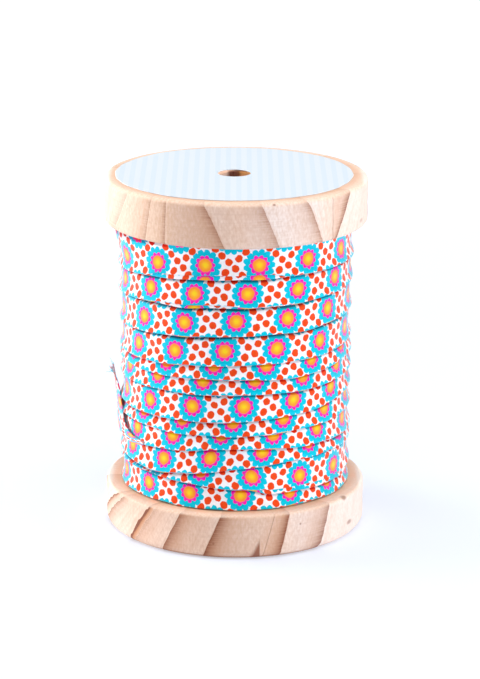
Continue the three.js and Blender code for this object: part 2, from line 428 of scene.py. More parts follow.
def smooth_through(knots, x):
    """Values at x of a smooth curve through knots (x, value) in rising order."""
    places, values = (np.array(column, dtype=float) for column in zip(*knots))
    x = np.asarray(x, dtype=float)
    i = np.clip(np.searchsorted(places, x, side="left") - 1, 0, len(places) - 2)
    before, after = np.maximum(i - 1, 0), np.minimum(i + 2, len(places) - 1)
    span = places[i + 1] - places[i]
    t = np.clip((x - places[i]) / span, 0.0, 1.0)
    start = (values[i + 1] - values[before]) / (places[i + 1] - places[before]) * span
    end = (values[after] - values[i]) / (places[after] - places[i]) * span
    bend = values[i + 1] - values[i]
    return values[i] + start * t + (3 * bend - 2 * start - end) * t**2 + (start + end - 2 * bend) * t**3


def wander(x, name):
    """A smooth irregular wave between about -1 and 1, the same each run."""
    draw = random.Random(name)
    waves = [np.sin(2 * math.pi * (np.asarray(x) / length + draw.random())) for length in WAVES[name]]
    return sum(waves) / math.sqrt(len(waves))


def between(value, low, high):
    """0 below low, 1 above high, and a smooth rise between."""
    return smooth_step((value - low) / (high - low))


def around_axis(angle, radius, height):
    """Points at angles in degrees round the spool's axis, as an array (..., 3)."""
    turn = np.radians(angle)
    return np.stack(np.broadcast_arrays(radius * np.sin(turn), -radius * np.cos(turn), height), axis=-1)


def grid_faces(grid, uv, closed):
    """Points, faces and the faces' corner UVs over a grid of points (rows, columns, 3).

    The columns close on themselves. The rows close too if closed is true, and are capped otherwise. uv has a
    column more than the grid, and where the rows close a row more, so that a pattern runs on over the closing
    faces.
    """
    rows, columns = grid.shape[:2]
    strips = rows if closed else rows - 1
    i, j = np.meshgrid(np.arange(strips), np.arange(columns), indexing="ij")
    corners = ((i, j), (i + 1, j), (i + 1, j + 1), (i, j + 1))
    faces = np.stack([(a % rows) * columns + b % columns for a, b in corners], axis=-1)
    faces = faces.reshape(-1, 4).tolist()
    corner_uv = np.stack([uv[a, b] for a, b in corners], axis=2).reshape(-1, 2)
    if not closed:
        first, last = list(range(columns)), list(range((rows - 1) * columns, rows * columns))
        faces += [first, last[::-1]]
        corner_uv = np.concatenate([corner_uv, uv[0, :columns], uv[-1, :columns][::-1]])
    return grid.reshape(-1, 3), faces, corner_uv


def mesh_piece(name, parts):
    """One smooth mesh of several parts, each a result of grid_faces, that rides on the body."""
    points, faces, corner_uv, count = [], [], [], 0
    for part_points, part_faces, part_uv in parts:
        faces += [[corner + count for corner in face] for face in part_faces]
        points.append(part_points)
        corner_uv.append(part_uv)
        count += len(part_points)
    mesh = bpy.data.meshes.new(name)
    mesh.from_pydata((np.concatenate(points) * MM).tolist(), [], faces)
    layer = mesh.uv_layers.new(name=UV_NAME)
    layer.data.foreach_set("uv", np.concatenate(corner_uv).astype(np.float32).ravel())
    mesh.shade_smooth()
    piece = bpy.data.objects.new(name, mesh)
    bpy.context.scene.collection.objects.link(piece)
    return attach(piece, BODY)


def grid_piece(name, grid, uv, closed):
    return mesh_piece(name, [grid_faces(grid, uv, closed)])


# Tape

def turn_at(row, angle):
    """The number of turns made since the bottom turn's back."""
    return row + (angle + 180.0) / 360.0


EDGE_KNOTS = [
    (turn_at(row, angle), height)
    for row, heights in enumerate(TURN_EDGES)
    for angle, height in zip(TURN_ANGLES, heights)
]
SEAM_KNOTS = [(turn_at(row, 0.0), strength) for row, strength in enumerate(SEAM_STRENGTHS)]
TURN_LENGTH = 2 * math.pi * WOUND_RADIUS


def parting(turns, column):
    """How far one of the leaves stands away from the tape's lower edge, from PARTED_LIPS."""
    total = np.zeros_like(np.asarray(turns, dtype=float))
    ramp = PARTING_LENGTH / 360.0
    for row in PARTED_LIPS:
        start, end = turn_at(row[0], row[1]), turn_at(row[0], row[2])
        inside = smooth_step((turns - start) / ramp) * smooth_step((end - turns) / ramp)
        total = total + row[column] * inside
    return total


def lip(turns, leaf):
    """How far the front leaf is drawn up from the tape's edge, or the back leaf hangs out under it."""
    loose = wander(np.asarray(turns) * TURN_LENGTH, LIP_NAMES[leaf])
    return parting(turns, leaf) + LIP_WANDER * np.maximum(loose, 0.0)


def lower_edge(turns):
    """Height of the lowest lip of the tape."""
    ripple = EDGE_WANDER * wander(np.asarray(turns) * TURN_LENGTH, "edge")
    return np.maximum(smooth_through(EDGE_KNOTS, turns) + ripple - lip(turns, BACK_LEAF), LOWEST_TAPE)


def winding_radius(height):
    return smooth_through(WINDING, height) + OUTSIDE_GAIN


def angle_at(turns):
    """The angle round the roll, from -180 to 180 degrees."""
    return np.mod(np.asarray(turns) * 360.0, 360.0) - 180.0


def bulge(turns, height):
    """Extra radius at the upper left, where the tape climbs under the upper flange."""
    angle = angle_at(turns)
    start, end = BULGE_ANGLES
    beside = between(angle, start, start + BULGE_RAMP) * between(-angle, -end, BULGE_RAMP - end)
    return BULGE * beside * between(height, *BULGE_HEIGHTS)


def at_side(turns):
    """0 at the front, 1 at the sides and less at the back."""
    angle = np.abs(angle_at(turns))
    return between(angle, *SIDE_SEAM_ANGLES) - BACK_SEAM_LOSS * between(angle, *BACK_SEAM_ANGLES)


def seam_strength(turns):
    """How deep the seam at a turn's lower edge is, which is more at the sides."""
    return smooth_through(SEAM_KNOTS, turns) * (1.0 + SIDE_SEAM_GAIN * at_side(turns))


def front_radius(turns, across):
    """Radius of the outside of the tape at a distance above its lower edge.

    It steps down past its own raised edge and again under each turn that laps over it.
    """
    low = lower_edge(turns)
    radius = winding_radius(low + across) + bulge(turns, low + across)
    gaps = [np.zeros_like(low)]
    for later in range(1, MOST_LAPS + 1):
        gaps.append(np.where(turns + later <= LAST_TURN, lower_edge(turns + later) - low, NO_LAP + later))
    for start, end in zip(gaps, gaps[1:]):
        length = np.clip(end - start, LEAST_BAND, LAP_LENGTH)
        radius = radius - LAP_DROP * smooth_step((across - start) / length)
    along = np.asarray(turns) * TURN_LENGTH
    deep, swing = GROOVE_DEPTH
    groove = (deep + swing * wander(along, "groove")) * seam_strength(turns + 1.0)
    radius = radius - groove * smooth_step((across - gaps[1]) / GROOVE_WIDTH + 1.0)
    lift = EDGE_LIFT * (0.5 + 0.5 * wander(along, "lift"))
    radius = radius + lift * np.exp(-np.maximum(across, 0.0) / EDGE_LIFT_LENGTH)
    return radius + FACE_WANDER * wander(along + FACE_SLANT * across, "face")


def cavity(turns, across):
    """How much darker the cloth is just under the turn above, where that turn's lip keeps the light out."""
    below = lower_edge(turns + 1.0) - lower_edge(turns) - across
    front, side = CAVITY_DARKNESS
    darkest = front + (side - front) * at_side(turns)
    inside = np.where(turns + 1.0 <= LAST_TURN, 1.0 - between(below, *CAVITY_REACH), 0.0)
    return np.minimum(darkest * np.sqrt(seam_strength(turns + 1.0)), side) * inside


def top_shade(turns, height):
    """How much darker the top turn is where the upper flange keeps the light out."""
    start, end = TOP_SHADE_ANGLES
    angle = angle_at(turns)
    share = np.clip((angle - start) / (end - start), 0.0, 1.0)
    first, last = TOP_SHADE_REACH
    reach = first + (last - first) * share
    inside = 1.0 - between(HIGHEST_TAPE - height, reach, reach + TOP_SHADE_FADE)
    beside = between(angle, start - TOP_SHADE_RAMP, start) * between(-angle, -end - TOP_SHADE_RAMP, -end)
    return TOP_SHADE_DARKNESS * inside * beside


# Shares of each stretch of the tape's section at which it has a point, and angles round its folded edges
VISIBLE_SHARES = (0.05, 0.12, 0.21, 0.31, 0.42, 0.54, 0.66, 0.78, 0.9, 1.0)
GROOVE_SHARES = (0.8, 0.6, 0.42, 0.25, 0.1, 0.0)
HIDDEN_SHARES = (0.33, 0.67, 1.0)
BACK_SHARES = (0.3, 0.6, 1.0)
SLIT_SHARES = (0.5, 1.0)
LIP_ANGLES = (0, 45, 90, 135, 180)


def front_points(lip, slit, split, crown, leaf):
    """The section's front leaf, from the slit round its lip and up to the folded edge."""
    arcs = np.radians(LIP_ANGLES)
    points = []
    for share in SLIT_SHARES[::-1]:
        rise = (slit - lip) * share
        points.append((lip + rise, 2 * leaf, lip - leaf * math.pi - rise))
    for arc in arcs[::-1]:
        points.append((lip - leaf * np.sin(arc), leaf - leaf * np.cos(arc), lip - leaf * arc))
    shoulder = np.maximum(split - GROOVE_WIDTH, (split + lip) / 2)
    stretches = (
        (lip, shoulder, VISIBLE_SHARES), (split, shoulder, GROOVE_SHARES), (split, crown, HIDDEN_SHARES),
    )
    for start, end, shares in stretches:
        for share in shares:
            height = start + (end - start) * share
            points.append((height, 0.0, height))
    return points


def back_points(lip, slit, crown, leaf, fold):
    """The section's back leaf, from the folded edge down and round its lip to the slit."""
    arcs = np.radians(LIP_ANGLES)[1:]
    points = []
    for arc in arcs:
        points.append((crown + fold * np.sin(arc), fold - fold * np.cos(arc), crown + fold * arc))
    behind = crown + fold * math.pi
    for share in BACK_SHARES:
        fall = (crown - lip) * share
        points.append((crown - fall, 2 * fold, behind + fall))
    below = behind + crown - lip
    for arc in arcs:
        depth = 2 * fold - leaf + leaf * np.cos(arc)
        points.append((lip - leaf * np.sin(arc), depth, below + leaf * arc))
    for share in SLIT_SHARES:
        rise = (slit - lip) * share
        points.append((lip + rise, 2 * fold - 2 * leaf, below + leaf * math.pi + rise))
    return points


def tape_section(front, back, split, top, thickness, leaf_thickness, slit_depth):
    """The tape's section, once round: height across the tape, depth behind its face and place in the cloth.

    front and back are the heights of the two lips, and split parts what shows from what is lapped over.
    """
    leaf, fold = leaf_thickness / 2, thickness / 2
    slit, crown = np.maximum(front, back) + slit_depth, top - fold
    points = front_points(front + leaf, slit, split, crown, leaf)
    points += back_points(back + leaf, slit, crown, leaf, fold)
    shape = np.shape(front)
    return [np.stack([np.broadcast_to(p[k], shape) for p in points], axis=-1) for k in range(3)]


def closed_uv(along, cloth, skew=0.0):
    """UV in millimetres along and across the cloth, with the first column again at the end."""
    cloth = np.concatenate([cloth, cloth[:, :1]], axis=1)
    return np.stack(np.broadcast_arrays(along[:, None] + skew * cloth, cloth), axis=-1)


def keep_at_points(piece, values):
    """Keeps one value for each point of a piece, for its material."""
    layer = piece.data.attributes.new(CAVITY_NAME, "FLOAT", "POINT")
    layer.data.foreach_set("value", values.astype(np.float32).ravel())


def wound_tape():
    """The outermost turns, as one long tape."""
    turns = np.linspace(0.0, LAST_TURN, int(LAST_TURN * STEPS_PER_TURN))
    low = lower_edge(turns)
    front, back = lip(turns, BACK_LEAF) + lip(turns, FRONT_LEAF), np.zeros_like(turns)
    widest = np.where(turns > LAST_TURN - 1.0, HIGHEST_TAPE - low, TAPE_WIDTH + lip(turns, BACK_LEAF))
    top = np.minimum(widest, HIGHEST_TAPE - low)
    top = np.maximum(top, TAPE_THICKNESS + LEAF_THICKNESS + SLIT_DEPTH)
    front = np.minimum(front, top - TAPE_THICKNESS - LEAF_THICKNESS)
    gap = np.where(turns + 1 <= LAST_TURN, lower_edge(turns + 1) - low, TAPE_WIDTH)
    split = np.clip(gap, front + LEAF_THICKNESS, top - TAPE_THICKNESS)
    across, depth, cloth = tape_section(
        front, back, split, top, TAPE_THICKNESS, LEAF_THICKNESS, SLIT_DEPTH
    )
    drawn_up = np.clip(parting(turns, FRONT_LEAF), 0.0, 1.0)[:, None]
    above_lip = np.maximum(across - front[:, None], 0.0)
    curl = LIP_CURL * drawn_up * np.exp(-above_lip / LIP_CURL_LENGTH) * (depth <= LEAF_THICKNESS)
    radius = front_radius(turns[:, None], across) - depth + curl
    height = np.minimum(low[:, None] + across, HIGHEST_TAPE)
    grid = around_axis((turns[:, None] * 360.0) - 180.0, radius, height)
    piece = grid_piece("tape_turns", grid, closed_uv(turns * TURN_LENGTH, cloth), closed=False)
    dark = np.maximum(cavity(turns[:, None], across), top_shade(turns[:, None], height))
    keep_at_points(piece, dark * (depth < LEAF_THICKNESS / 4))
    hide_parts("tape_roll")
    return piece


def under_turns():
    """The layer of turns under the outermost ones, down to the core, which shows in a gap beside a flange."""
    profile, cloth = [], []
    for low in np.arange(LOWEST_TAPE, HIGHEST_TAPE - UNDER_PITCH / 2, UNDER_PITCH):
        high = min(low + UNDER_PITCH, HIGHEST_TAPE)
        for share, drop in UNDER_SECTION:
            z = low + (high - low) * share
            profile.append((winding_radius(z) - UNDER_DEPTH - drop, z))
            cloth.append(share * UNDER_PITCH)
    inner = CORE_RADIUS + UNDER_CORE_GAP
    profile += [(inner, HIGHEST_TAPE), (inner, LOWEST_TAPE)]
    cloth += [0.0, 0.0]
    angles = np.linspace(-180.0, 180.0, TURNED_STEPS // 2, endpoint=False)
    radius, height = (np.array(column)[None, :] for column in zip(*profile))
    grid = around_axis(angles[:, None], radius, height)
    along = np.append(angles, 180.0) / 360.0 * TURN_LENGTH
    uv = closed_uv(along, np.repeat(np.array(cloth)[None, :], len(along), axis=0))
    return grid_piece("tape_under_turns", grid, uv, closed=True)


def loose_end():
    """The loose end, a strip of the tape from its root to its cut tip, its open edge towards the camera."""
    rows = np.linspace(0.0, len(LOOSE_END) - 1.0, LOOSE_END_STEPS)
    columns = [smooth_through(list(enumerate(column)), rows) for column in zip(*LOOSE_END)]
    near, far = np.stack(columns[:3]), np.stack(columns[3:])
    zero = np.zeros_like(rows)
    half, whole = zero + TAPE_WIDTH / 2, zero + TAPE_WIDTH
    section, depth, cloth = tape_section(
        zero, zero, half, whole, LOOSE_END_THICKNESS, LOOSE_END_LEAF, LOOSE_END_SLIT
    )
    share = section / TAPE_WIDTH
    angle, height, lift = near[..., None] + (far - near)[..., None] * share
    radius = smooth_through(WINDING, height) + lift + LOOSE_END_THICKNESS / 2 - depth
    half_angle, half_height, half_lift = (near + far) / 2
    middle = around_axis(half_angle, smooth_through(WINDING, half_height) + half_lift, half_height)
    travelled = np.concatenate([[0.0], np.cumsum(np.linalg.norm(np.diff(middle, axis=0), axis=1))])
    grid = around_axis(angle, radius, height)
    along, across = LOOSE_END_PRINT_SHIFT
    uv = closed_uv(travelled + along, cloth + across, LOOSE_END_SKEW)
    piece = grid_piece("tape_loose_end", grid, uv, closed=False)
    first, last = LOOSE_END_SHADE_ROWS
    shaded = LOOSE_END_SHADE * between(rows, *first) * (1.0 - between(rows, *last))
    in_slit = (depth > IN_SLIT_DEPTH * LOOSE_END_LEAF) & (section < TAPE_WIDTH / 2)
    keep_at_points(piece, shaded[:, None] * in_slit)
    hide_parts("tape_end")
    threads = frayed_threads(grid[-1], grid[-1] - grid[-LOOSE_END_TIP_STEPS])
    return piece, threads, float(travelled[-1])


def thread(start, reach, curl):
    """A thin tube from a point along reach, bent sideways by curl at its end."""
    share = np.linspace(0.0, 1.0, THREAD_STEPS)[:, None]
    path = start + reach * share + curl * share**2
    along = reach / np.linalg.norm(reach)
    side = np.cross(along, THREAD_SIDE)
    side /= np.linalg.norm(side)
    other = np.cross(along, side)
    arcs = np.linspace(0.0, 2 * math.pi, THREAD_SIDES, endpoint=False)[:, None]
    ring = THREAD_RADIUS * (np.cos(arcs) * side + np.sin(arcs) * other)
    grid = path[:, None] + ring[None] * (1.0 - THREAD_TAPER * share)[:, None]
    place = np.zeros((THREAD_STEPS, THREAD_SIDES + 1, 2)) + start[:2]
    return grid_faces(grid, place, closed=False)


def frayed_threads(edge, along):
    """Threads that stand out of the cut edge, from points round it and the tape's direction at each."""
    draw = random.Random("frayed threads")
    parts = []
    for _ in range(THREAD_COUNT):
        k = draw.randrange(len(edge))
        forward = along[k] / np.linalg.norm(along[k])
        sideways = np.array([draw.uniform(-THREAD_SPREAD, THREAD_SPREAD) for _ in range(3)])
        length = draw.uniform(*THREAD_LENGTHS)
        start = edge[k] - THREAD_ROOT * forward
        parts.append(thread(start, length * (forward + sideways), THREAD_CURL * length * sideways))
    start = edge[STRAY_THREAD_PLACE] - STRAY_THREAD_ROOT * along[STRAY_THREAD_PLACE]
    parts.append(thread(start, np.array(STRAY_THREAD), np.array(STRAY_THREAD_CURL)))
    return mesh_piece("tape_end_threads", parts)


# Spool and label

def edge_arc(radius, height, size, first, last):
    """Points (radius, height) of a rounded edge about a centre, between two angles in degrees."""
    angles = np.radians(np.linspace(first, last, EDGE_STEPS + 1))
    return [(radius + size * math.cos(a), height + size * math.sin(a)) for a in angles]


def flange_profile(bottom, top, lower_round, upper_round):
    """Once round a flange's section, up its outside.

    Points close to the rounded edges keep its flats flat.
    """
    hold = HOLDING_EDGE
    side = np.linspace(bottom + lower_round + hold, top - upper_round - hold, SIDE_STEPS)
    inner = BORE_RADIUS + BORE_CHAMFER + hold
    under = (inner, *FACE_RADII, FLANGE_RADIUS - lower_round - hold)
    face = (FLANGE_RADIUS - upper_round - hold, *FACE_RADII[::-1], inner)
    return [
        (BORE_RADIUS, bottom + BORE_CHAMFER + hold),
        (BORE_RADIUS, bottom + BORE_CHAMFER),
        (BORE_RADIUS + BORE_CHAMFER, bottom),
        *((radius, bottom) for radius in under),
        *edge_arc(FLANGE_RADIUS - lower_round, bottom + lower_round, lower_round, -90, 0),
        *((FLANGE_RADIUS, height) for height in side),
        *edge_arc(FLANGE_RADIUS - upper_round, top - upper_round, upper_round, 0, 90),
        *((radius, top) for radius in face),
        (BORE_RADIUS + BORE_CHAMFER, top),
        (BORE_RADIUS, top - BORE_CHAMFER),
        (BORE_RADIUS, top - BORE_CHAMFER - hold),
    ]


def ring_numbers(rings, ring_turn, share, angles):
    """Ring numbers at angles round a flange, at a share of its height. The lines repeat every turn."""
    lines = []
    for turn in (-1, 0, 1):
        for upper, lower, number in rings:
            lines.append((lower + (upper - lower) * share + 360.0 * turn, number + ring_turn * turn))
    places, numbers = zip(*sorted(lines))
    return np.interp(angles, places, numbers)


def turned_wood(name, profile, rings, ring_turn, split, dents_name):
    """A turned piece of wood. Its UV is the number of the growth ring and the distance to a fine split."""
    angles = np.linspace(rings[0][0], rings[0][0] + 360.0, TURNED_STEPS + 1)
    radius, height = (np.array(column) for column in zip(*profile))
    bottom, top = height.min(), height.max()
    along = angles[:-1, None] * FLANGE_RADIUS / DEGREES_PER_RADIAN
    dents = DENT_DEPTH * wander(along + DENT_SLANT * height, dents_name) * between(radius, *DENT_RADII)
    grid = around_axis(angles[:-1, None], radius + dents, height)
    columns = []
    for z in np.append(height, height[0]):
        share = (z - bottom) / (top - bottom)
        number = ring_numbers(rings, ring_turn, share, angles)
        line = split[1] + (split[0] - split[1]) * share
        away = (angles - line + 180.0) % 360.0 - 180.0
        columns.append(np.stack([number, np.radians(away) * FLANGE_RADIUS], axis=-1))
    return grid_piece(name, grid, np.stack(columns, axis=1), closed=True)


def spool():
    lower = turned_wood(
        "spool_flange_lower",
        flange_profile(LOWER_BOTTOM, LOWER_TOP, FOOT_EDGE_ROUND, INNER_EDGE_ROUND),
        LOWER_RINGS, LOWER_RING_TURN, LOWER_SPLIT, "lower dents",
    )
    upper = turned_wood(
        "spool_flange_upper",
        flange_profile(UPPER_BOTTOM, UPPER_TOP, INNER_EDGE_ROUND, OUTER_EDGE_ROUND),
        UPPER_RINGS, UPPER_RING_TURN, UPPER_SPLIT, "upper dents",
    )
    bottom, top = LOWER_TOP + PIECE_CLEARANCE, UPPER_BOTTOM - PIECE_CLEARANCE
    core = turned_wood(
        "spool_core",
        [(BORE_RADIUS, bottom), (CORE_RADIUS, bottom), (CORE_RADIUS, top), (BORE_RADIUS, top)],
        UPPER_RINGS, UPPER_RING_TURN, UPPER_SPLIT, "upper dents",
    )
    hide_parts("flange_bottom")
    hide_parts("flange_top")
    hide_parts("core")
    return lower, upper, core


def paper_label():
    """The round paper label, which lies on the upper flange a little off centre."""
    bottom = UPPER_TOP + PIECE_CLEARANCE
    top, edge, hold = bottom + LABEL_THICKNESS, LABEL_THICKNESS / 2, LABEL_THICKNESS
    inner, outer = LABEL_HOLE_RADIUS + edge, LABEL_RADIUS - edge
    face = (outer, outer - hold / 2, outer - hold, *LABEL_FACE_RADII, inner + hold, inner + hold / 2, inner)
    profile = [
        (LABEL_HOLE_RADIUS, bottom),
        (outer, bottom),
        (LABEL_RADIUS, bottom + edge),
        *((radius, top) for radius in face),
        (LABEL_HOLE_RADIUS, top - edge),
    ]
    angles = np.linspace(-180.0, 180.0, TURNED_STEPS, endpoint=False)
    radius, height = (np.array(column) for column in zip(*profile))
    rough = LABEL_EDGE_WANDER * wander(angles[:, None] * LABEL_EDGE_PER_DEGREE, "label edge")
    at_edge = radius > LABEL_RADIUS - LABEL_EDGE_REACH
    grid = around_axis(angles[:, None], radius + rough * at_edge, height)
    grid = grid + np.array([*LABEL_SHIFT, 0.0])
    uv = np.zeros((len(angles) + 1, len(profile) + 1, 2))
    piece = grid_piece("paper_label", grid, uv, closed=True)
    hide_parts("label")
    return piece


# Materials

def linear(red, green, blue):
    """A colour for a shader socket, from 8-bit display values."""
    def one(value):
        value /= 255.0
        return value / 12.92 if value <= 0.04045 else ((value + 0.055) / 1.055) ** 2.4
    return (one(red), one(green), one(blue), 1.0)


class Nodes:
    """Short forms for one material's node tree. A value is a number, a colour or a node's output."""

    def __init__(self, name, roughness, gloss=0.3):
        self.material = bpy.data.materials.new(name)
        self.material.use_nodes = True
        self.tree = self.material.node_tree
        self.shader = self.tree.nodes["Principled BSDF"]
        self.shader.inputs["Roughness"].default_value = roughness
        self.shader.inputs["Specular IOR Level"].default_value = gloss

    def feed(self, socket, value):
        if isinstance(value, bpy.types.NodeSocket):
            self.tree.links.new(value, socket)
        else:
            socket.default_value = value

    def node(self, kind, **inputs):
        """A new node of a kind, with values for its inputs by name."""
        node = self.tree.nodes.new("ShaderNode" + kind)
        for name, value in inputs.items():
            self.feed(node.inputs[name], value)
        return node

    def math(self, operation, *values):
        node = self.node("Math")
        node.operation = operation
        for socket, value in zip(node.inputs, values):
            self.feed(socket, value)
        return node.outputs[0]

    def add(self, first, second):
        return self.math("ADD", first, second)

    def minus(self, first, second):
        return self.math("SUBTRACT", first, second)

    def times(self, first, second):
        return self.math("MULTIPLY", first, second)

    def distance(self, *values):
        """How far a place with these coordinates is from the origin."""
        total = 0.0
        for value in values:
            total = self.add(total, self.times(value, value))
        return self.math("SQRT", total)

    def rise(self, value, low, high):
        """0 at low and beyond it, 1 at high and beyond it, smooth between. high may be the lower one."""
        node = self.node("MapRange")
        node.interpolation_type = "SMOOTHSTEP"
        for socket, setting in zip(node.inputs, (value, low, high)):
            self.feed(socket, setting)
        return node.outputs[0]

    def inside(self, value, limit, soft):
        """1 where value is under limit, 0 where it is over."""
        return self.rise(self.minus(limit, value), -soft, soft)

    def blend(self, share, first, second):
        node = self.node("Mix")
        node.data_type = "RGBA"
        for place, value in ((0, share), (6, first), (7, second)):
            self.feed(node.inputs[place], value)
        return node.outputs[2]

    def tint(self, share, colour, factors):
        """The colour times the factors, where share is 1."""
        mixed = self.blend(share, colour, factors)
        mixed.node.blend_type = "MULTIPLY"
        return mixed

    def vector(self, x, y, z):
        return self.node("CombineXYZ", X=x, Y=y, Z=z).outputs[0]

    def split(self, vector):
        return tuple(self.node("SeparateXYZ", Vector=vector).outputs)

    def scaled(self, vector, factor):
        node = self.node("VectorMath", Vector=vector)
        node.operation = "SCALE"
        self.feed(node.inputs["Scale"], factor)
        return node.outputs[0]

    def deepened(self, colour, power):
        """The colour with each channel raised to a power, which keeps white and darkens what is strong."""
        return self.node("Gamma", Color=colour, Gamma=power).outputs[0]

    def point_value(self, name):
        """A value that a mesh keeps at its points, or 0 on a mesh that keeps none."""
        node = self.node("Attribute")
        node.attribute_name = name
        return node.outputs["Fac"]

    def noise(self, vector, scale, detail=2.0):
        return self.node("TexNoise", Vector=vector, Scale=scale, Detail=detail).outputs[0]

    def drawn_noise(self, place, across, up, scale, detail):
        """Noise at a place whose sides and height are drawn out."""
        x, y, z = place
        drawn = self.vector(self.times(x, across), self.times(y, across), self.times(z, up))
        return self.noise(drawn, scale, detail)

    def speck(self, vector, scale, size):
        """1 in small round spots, one in each cell of a scattered pattern."""
        node = self.node("TexVoronoi", Vector=vector, Scale=scale)
        return self.inside(node.outputs["Distance"], size, size / 2)

    def random(self, vector):
        return self.node("TexWhiteNoise", Vector=vector).outputs["Value"]

    def surface_uv(self):
        node = self.node("UVMap")
        node.uv_map = UV_NAME
        return self.split(node.outputs[0])[:2]

    def place_mm(self):
        """The point's place in the object, in millimetres."""
        return self.split(self.scaled(self.node("TexCoord").outputs["Object"], 1.0 / MM))

    def steps(self, value, levels):
        """levels[n] where value is from n to n + 1."""
        node = self.node("ValToRGB")
        ramp = node.color_ramp
        ramp.interpolation = "CONSTANT"
        for n, level in enumerate(levels):
            stop = ramp.elements[n] if n < 1 else ramp.elements.new(n / len(levels))
            stop.color = (level, level, level, 1.0)
        ramp.elements.remove(ramp.elements[-1])
        self.feed(node.inputs[0], self.times(value, 1.0 / len(levels)))
        return node.outputs[0]

    def bump(self, height, strength, distance):
        node = self.node("Bump", Strength=strength, Distance=distance * MM, Height=height)
        self.feed(self.shader.inputs["Normal"], node.outputs[0])

    def finish(self, colour):
        self.feed(self.shader.inputs["Base Color"], colour)
        return self.material


def cloth_axes(n):
    """Places along the two threads of the cloth, in millimetres. The tape is cut at 45 degrees to them."""
    along, across = n.surface_uv()
    along = n.add(along, PRINT_SHIFT[0])
    across = n.minus(across, PRINT_SHIFT[1])
    warp = n.times(n.add(along, across), math.sqrt(0.5))
    weft = n.times(n.minus(across, along), math.sqrt(0.5))
    return warp, weft


def print_cell(n, warp, weft, flat):
    """Place in a cell of the print, distance from its middle and angle round it. Each cell is turned."""
    cells, local = [], []
    for along, scale in zip((warp, weft), PRINT_WOBBLE_SCALES):
        shift = n.times(n.minus(n.noise(flat, scale), 0.5), 2 * PRINT_WOBBLE)
        place = n.times(n.add(along, shift), 1.0 / PRINT_PITCH)
        cell = n.math("FLOOR", n.add(place, 0.5))
        cells.append(cell)
        local.append(n.times(n.minus(place, cell), PRINT_PITCH))
    x, y = local
    turn = n.times(n.random(n.vector(*cells, 0.0)), 2 * math.pi)
    return x, y, n.distance(x, y), n.add(n.math("ARCTAN2", y, x), turn)


def petals(n, radius, angle, count, least, rise, power):
    """1 inside a flower with rounded petals."""
    wave = n.math("ABSOLUTE", n.math("COSINE", n.times(angle, count / 2)))
    reach = n.add(n.times(n.math("POWER", wave, power), rise), least)
    return n.inside(radius, reach, PRINT_SOFTNESS)


def dot(n, across, along):
    """1 in a printed dot, at these places from its middle."""
    away = n.distance(n.times(across, 1 / DOT_SIZE[0]), n.times(along, 1 / DOT_SIZE[1]))
    return n.inside(away, 1.0, PRINT_SOFTNESS)


def dot_rows(n, x, y):
    """1 in the dots, which stand in rows along the sides of a cell."""
    spacing = PRINT_PITCH / DOTS_PER_PITCH
    to_row = n.minus(PRINT_PITCH / 2, n.math("ABSOLUTE", x))
    along_row = n.minus(n.math("FLOORED_MODULO", y, spacing), spacing / 2)
    to_cross_row = n.minus(PRINT_PITCH / 2, n.math("ABSOLUTE", y))
    shifted = n.math("FLOORED_MODULO", n.add(x, spacing / 2), spacing)
    cross_dots = dot(n, to_cross_row, n.minus(shifted, spacing / 2))
    clear_of_rows = n.rise(to_row, *(spacing * share for share in DOT_CLEARANCE))
    return n.math("MAXIMUM", dot(n, to_row, along_row), n.times(cross_dots, clear_of_rows))


def print_colour(n, flat, x, y, radius, angle):
    """White ground, turquoise flowers with a pink ring and a yellow centre, and orange dots."""
    ink = n.noise(flat, INK_SCALE)
    ground = n.blend(n.noise(flat, GROUND_SCALE), linear(252, 248, 249), linear(247, 242, 245))
    turquoise = n.blend(n.rise(radius, *TURQUOISE_REACH), linear(0, 178, 203), linear(0, 196, 222))
    turquoise = n.blend(n.times(ink, INK_SHARE), turquoise, linear(0, 205, 228))
    magenta = n.blend(n.rise(radius, *MAGENTA_REACH), linear(255, 70, 165), linear(246, 20, 178))
    yellow = n.blend(n.rise(radius, *YELLOW_REACH), linear(255, 212, 34), linear(255, 154, 54))
    orange = n.blend(ink, linear(244, 84, 26), linear(236, 62, 20))
    colour = n.blend(petals(n, radius, angle, *PETALS), ground, turquoise)
    colour = n.blend(petals(n, radius, angle, *INNER_PETALS), colour, magenta)
    colour = n.blend(n.inside(radius, CENTRE_RADIUS, CENTRE_SOFTNESS), colour, yellow)
    return n.blend(dot_rows(n, x, y), colour, orange)


def printed_cotton():
    """Printed white cotton, darker where a lip keeps the light out."""
    n = Nodes("printed_cotton", roughness=0.85, gloss=0.02)
    warp, weft = cloth_axes(n)
    flat = n.vector(warp, weft, 0.0)
    colour = print_colour(n, flat, *print_cell(n, warp, weft, flat))
    waves = [n.math("SINE", n.times(along, 2 * math.pi / THREAD_PITCH)) for along in (warp, weft)]
    weave = n.times(*waves)
    shade = n.add(n.times(weave, WEAVE_SHADE), 1.0 - WEAVE_SHADE)
    colour = n.blend(shade, n.blend(WEAVE_SHARE, colour, linear(110, 90, 110)), colour)
    dark = n.point_value(CAVITY_NAME)
    colour = n.deepened(colour, n.add(n.times(dark, SEAM_DEEPENING), 1.0))
    colour = n.scaled(colour, n.minus(1.0, n.times(dark, SEAM_SHADE)))
    n.feed(n.shader.inputs["Sheen Weight"], n.times(n.minus(1.0, dark), SHEEN))
    n.shader.inputs["Sheen Roughness"].default_value = SHEEN_ROUGHNESS
    n.bump(weave, *WEAVE_BUMP)
    return n.finish(colour)


PALE_WOOD, TAN_WOOD = linear(252, 234, 222), linear(212, 173, 147)
AMBER_WOOD, BROWN_WOOD = linear(206, 149, 111), linear(138, 82, 58)


